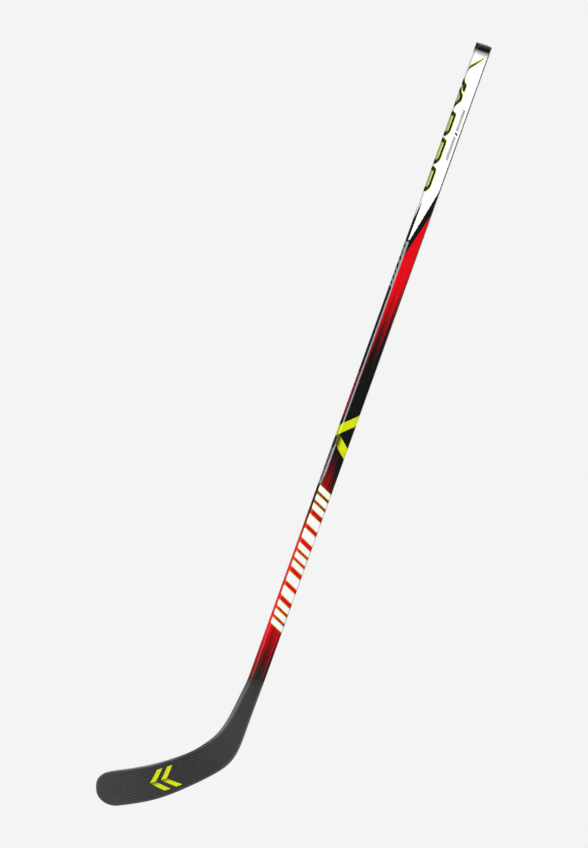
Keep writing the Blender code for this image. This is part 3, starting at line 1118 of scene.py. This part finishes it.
def make_blade():
    """Face laminates and edge wraps, each a closed shell with a hairline seam."""
    toe_end = TOE_START + TOE_LENGTH * (math.pi / 2.0 - TIP_SHORT)
    lengths = steps_between(JOINT_GAP, TOE_START, LENGTH_STEPS)
    lengths += steps_between(TOE_START, toe_end, TOE_STEPS)[1:]
    pieces = []
    for name, start, flat_steps, material in BLADE_SHELLS:
        turns = steps_between(start + SEAM, start + 0.5, ROUND_STEPS)
        turns += steps_between(start + 0.5, start + 1.5, flat_steps)[1:]
        turns += steps_between(start + 1.5, start + 2.0 - SEAM, ROUND_STEPS)[1:]
        places = [(turn, length) for length in lengths for turn in turns]
        wide = len(turns)
        faces = []
        for row in range(len(lengths) - 1):
            for i in range(wide - 1):
                first = row * wide + i
                faces.append((first, first + 1, first + wide + 1, first + wide))
        owners = [material] * len(faces)
        piece = make_shell(name, places, faces, owners, blade_point, (0.0, WALL), blade_chart, "bare_ply")
        pieces.append(piece)
    return pieces


# The blade's print stands this far off its face, and as far into it
FILM = 0.1


def face_film(across, length, lift):
    """Point just off the blade's front face; across is up from its middle."""
    top, bottom, depth, corner = rib_at(length)
    half = 0.5 * np.linalg.norm(top - bottom) - corner
    return stick_point(length, across / half, depth / 2.0 + lift, corner)


def used_only(places, faces, owners):
    """The sheet without the points that no face uses."""
    used = sorted({i for face in faces for i in face})
    order = {old: new for new, old in enumerate(used)}
    faces = [tuple(order[i] for i in face) for face in faces]
    return [places[i] for i in used], faces, owners


def make_blade_mark():
    """Two folded neon chevrons printed on the front of the blade."""
    layers = []
    width = 9.0
    reach = 17.5
    point = 17.0
    low = (-20.0, 195.0)
    high = (20.0, 250.0)
    for start in (199.0, 216.5):
        tip = start + point
        upper = [(0.0, tip), (reach, start), (reach, start + width), (0.0, tip + width)]
        lower = [(-reach, start), (0.0, tip), (0.0, tip + width), (-reach, start + width)]
        layers += [("mark_fold_paint", lower), ("neon_paint", upper)]
    folds = [((across, low[1]), (across, high[1])) for across in steps_between(-18.0, 18.0, 12)]
    folds += [((low[0], length), (high[0], length)) for length in steps_between(196.0, 249.0, 20)]
    sheet = used_only(*cut_sheet(low, high, layers, folds, None))
    return make_shell("blade_chevrons", *sheet, face_film, (FILM, -FILM), film_chart, "neon_paint")


def make_plug():
    """The rubber end plug: a rounded, slightly dished head and its stem."""
    edge = 1.3
    # Down and inset of each ring of points, from the end face's dish outwards
    profile = [(0.5, 3.7), (0.5, 3.1), (0.12, 2.7), (0.0, 2.3)]
    for angle in steps_between(0.0, math.pi / 2.0, 6):
        profile.append((edge * (1.0 - math.cos(angle)), edge * (1.0 - math.sin(angle))))
    under = PLUG_HEAD - JOINT_GAP
    stem_end = PLUG_HEAD + PLUG_STEM
    profile += [
        (under, 0.0), (under, PLUG_STEM_INSET),
        (stem_end - 2.0, PLUG_STEM_INSET), (stem_end, PLUG_STEM_INSET + 0.4),
    ]
    corner = steps_between(FLAT, FLAT + CORNER, 8)
    ring = sorted(side * across for side in (-1.0, 1.0) for across in corner)
    ring += [2.0 * EDGE - across for across in reversed(ring)]
    size = len(ring)
    points = [shaft_point(across, down, inset) for down, inset in profile for across in ring]
    faces = []
    for row in range(len(profile) - 1):
        for i in range(size):
            j = (i + 1) % size
            first = row * size
            faces.append((first + i, first + size + i, first + size + j, first + j))
    faces.append(tuple(range(size)))
    faces.append(tuple(range(len(points) - 1, len(points) - size - 1, -1)))
    mesh = bpy.data.meshes.new("end_plug_cap")
    mesh.from_pydata(points, [], faces)
    mesh.shade_smooth()
    mesh.set_sharp_from_angle(angle=math.radians(40.0))
    graph = Graph("plug_rubber")
    place = graph.solid_place()
    grain = graph.noise(place, 1400.0, 3.0)
    cloud = graph.spread(graph.noise(place, 160.0, 3.0), 0.8, 1.25)
    rough = graph.spread(grain, 0.48, 0.62)
    mesh.materials.append(graph.finish(graph.shaded(RUBBER, cloud), rough, grain, 0.00003))
    return linked("end_plug_cap", mesh)


# ---------- studio

AZIMUTH = math.radians(-17.0)
ELEVATION = math.radians(6.0)
LEAN = math.radians(19.765)
FIELD_HEIGHT = 1.2839
AIM_RIGHT = 0.0043
AIM_UP = 0.0002
CAMERA_DISTANCE = 6.0
FLOOR_DROP = 0.2
FLOOR_RADIUS = 0.8
FLOOR_SIDES = 96
AMBIENT = 0.08

# Lamps: name, azimuth and elevation in degrees, distance, width, height and
# radiance
SOFTBOXES = (
    ("side_softbox", -66.0, 0.0, 2.0, 1.5, 2.6, 2.2),
    ("front_softbox", -12.0, 52.0, 5.0, 4.2, 3.85, 7.4),
    ("right_fill", 102.0, 22.0, 2.6, 1.6, 2.4, 4.5),
    ("back_softbox", 170.0, 48.0, 5.0, 4.2, 3.85, 4.5),
)


def direction(azimuth, elevation):
    """Unit vector from the object; azimuth 0 is the front and 90 is +X."""
    level = math.cos(elevation)
    return Vector((math.sin(azimuth) * level, -math.cos(azimuth) * level, math.sin(elevation)))


def make_camera(centre):
    """Parallel view from the front and a little from the blade's side."""
    back = direction(AZIMUTH, ELEVATION)
    right = Vector((math.cos(AZIMUTH), math.sin(AZIMUTH), 0.0))
    up = back.cross(right)
    aim = centre + right * AIM_RIGHT + up * AIM_UP
    axes = Matrix((
        right * math.cos(LEAN) + up * math.sin(LEAN), up * math.cos(LEAN) - right * math.sin(LEAN), back
    )).transposed()
    data = bpy.data.cameras.new("camera")
    data.type = "ORTHO"
    data.ortho_scale = FIELD_HEIGHT
    data.clip_end = 100.0
    camera = linked("camera", data)
    camera.matrix_world = Matrix.Translation(aim + back * CAMERA_DISTANCE) @ axes.to_4x4()
    bpy.context.scene.camera = camera


def softbox(name, centre, azimuth, elevation, distance, width, height, radiance):
    """Rectangular lamp that faces the object, at an azimuth and elevation."""
    away = direction(math.radians(azimuth), math.radians(elevation))
    data = bpy.data.lights.new(name, "AREA")
    data.shape = "RECTANGLE"
    data.size = width
    data.size_y = height
    data.energy = radiance * math.pi * width * height
    lamp = linked(name, data)
    lamp.location = centre + away * distance
    lamp.rotation_euler = away.to_track_quat("Z", "Y").to_euler()


def make_world():
    """Pale backdrop to look at, with a dimmer, even light from all round."""
    world = bpy.data.worlds.new("studio")
    world.use_nodes = True
    tree = world.node_tree
    tree.nodes.clear()
    seen = tree.nodes.new("ShaderNodeBackground")
    seen.inputs["Color"].default_value = (*BACKDROP, 1.0)
    lit = tree.nodes.new("ShaderNodeBackground")
    lit.inputs["Color"].default_value = (1.0, 1.0, 1.0, 1.0)
    lit.inputs["Strength"].default_value = AMBIENT
    path = tree.nodes.new("ShaderNodeLightPath")
    choice = tree.nodes.new("ShaderNodeMixShader")
    output = tree.nodes.new("ShaderNodeOutputWorld")
    tree.links.new(path.outputs["Is Camera Ray"], choice.inputs["Fac"])
    tree.links.new(lit.outputs[0], choice.inputs[1])
    tree.links.new(seen.outputs[0], choice.inputs[2])
    tree.links.new(choice.outputs[0], output.inputs["Surface"])
    bpy.context.scene.world = world
    bpy.context.scene.view_settings.view_transform = "Standard"


def make_floor(centre, lowest):
    """Round grey floor a little below the blade."""
    points = [Vector((0.0, 0.0, 0.0))]
    for i in range(FLOOR_SIDES):
        angle = 2.0 * math.pi * i / FLOOR_SIDES
        points.append(Vector((math.cos(angle), math.sin(angle), 0.0)) * FLOOR_RADIUS)
    faces = [(0, 1 + i, 1 + (i + 1) % FLOOR_SIDES) for i in range(FLOOR_SIDES)]
    mesh = bpy.data.meshes.new("floor")
    mesh.from_pydata(points, [], faces)
    graph = Graph("floor_paint")
    grain = graph.noise(graph.solid_place(), 60.0, 3.0)
    tone = graph.spread(grain, 0.98, 1.01)
    mesh.materials.append(graph.finish(graph.shaded(FLOOR_GREY, tone), 0.9, grain, 0.0001))
    floor = linked("floor", mesh)
    floor.location = (centre.x, centre.y, lowest - FLOOR_DROP)


# ---------- build

layered_material("bare_ply", *PLY)
make_paints()
# The blade's composites, with painted light and shade in their tones
composite_material("face_composite", FACE_TONE_AND_PAINTED_LIGHT)
composite_material("edge_composite", EDGE_TONE_AND_PAINTED_LIGHT)
dress_inner_nodes()

for stretch in make_shaft():
    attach(stretch, BODY)
    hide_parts("shaft_outer_wrap")

# In the order of BLADE_SHELLS
BLADE_NODES = ("front_face_laminate", "top_edge_wrap", "back_face_laminate", "bottom_edge_wrap")
for shell, node in zip(make_blade(), BLADE_NODES):
    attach(shell, BODY)
    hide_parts(node)

mark = make_blade_mark()
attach(mark, BODY)

plug = make_plug()
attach(plug, BODY)
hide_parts("end_plug")

middle_point = 0.5 * (cad_box[0] + cad_box[1])
make_camera(middle_point)
make_world()
make_floor(middle_point, cad_box[0].z)
for lamp_name, *lamp_facts in SOFTBOXES:
    softbox(lamp_name, middle_point, *lamp_facts)
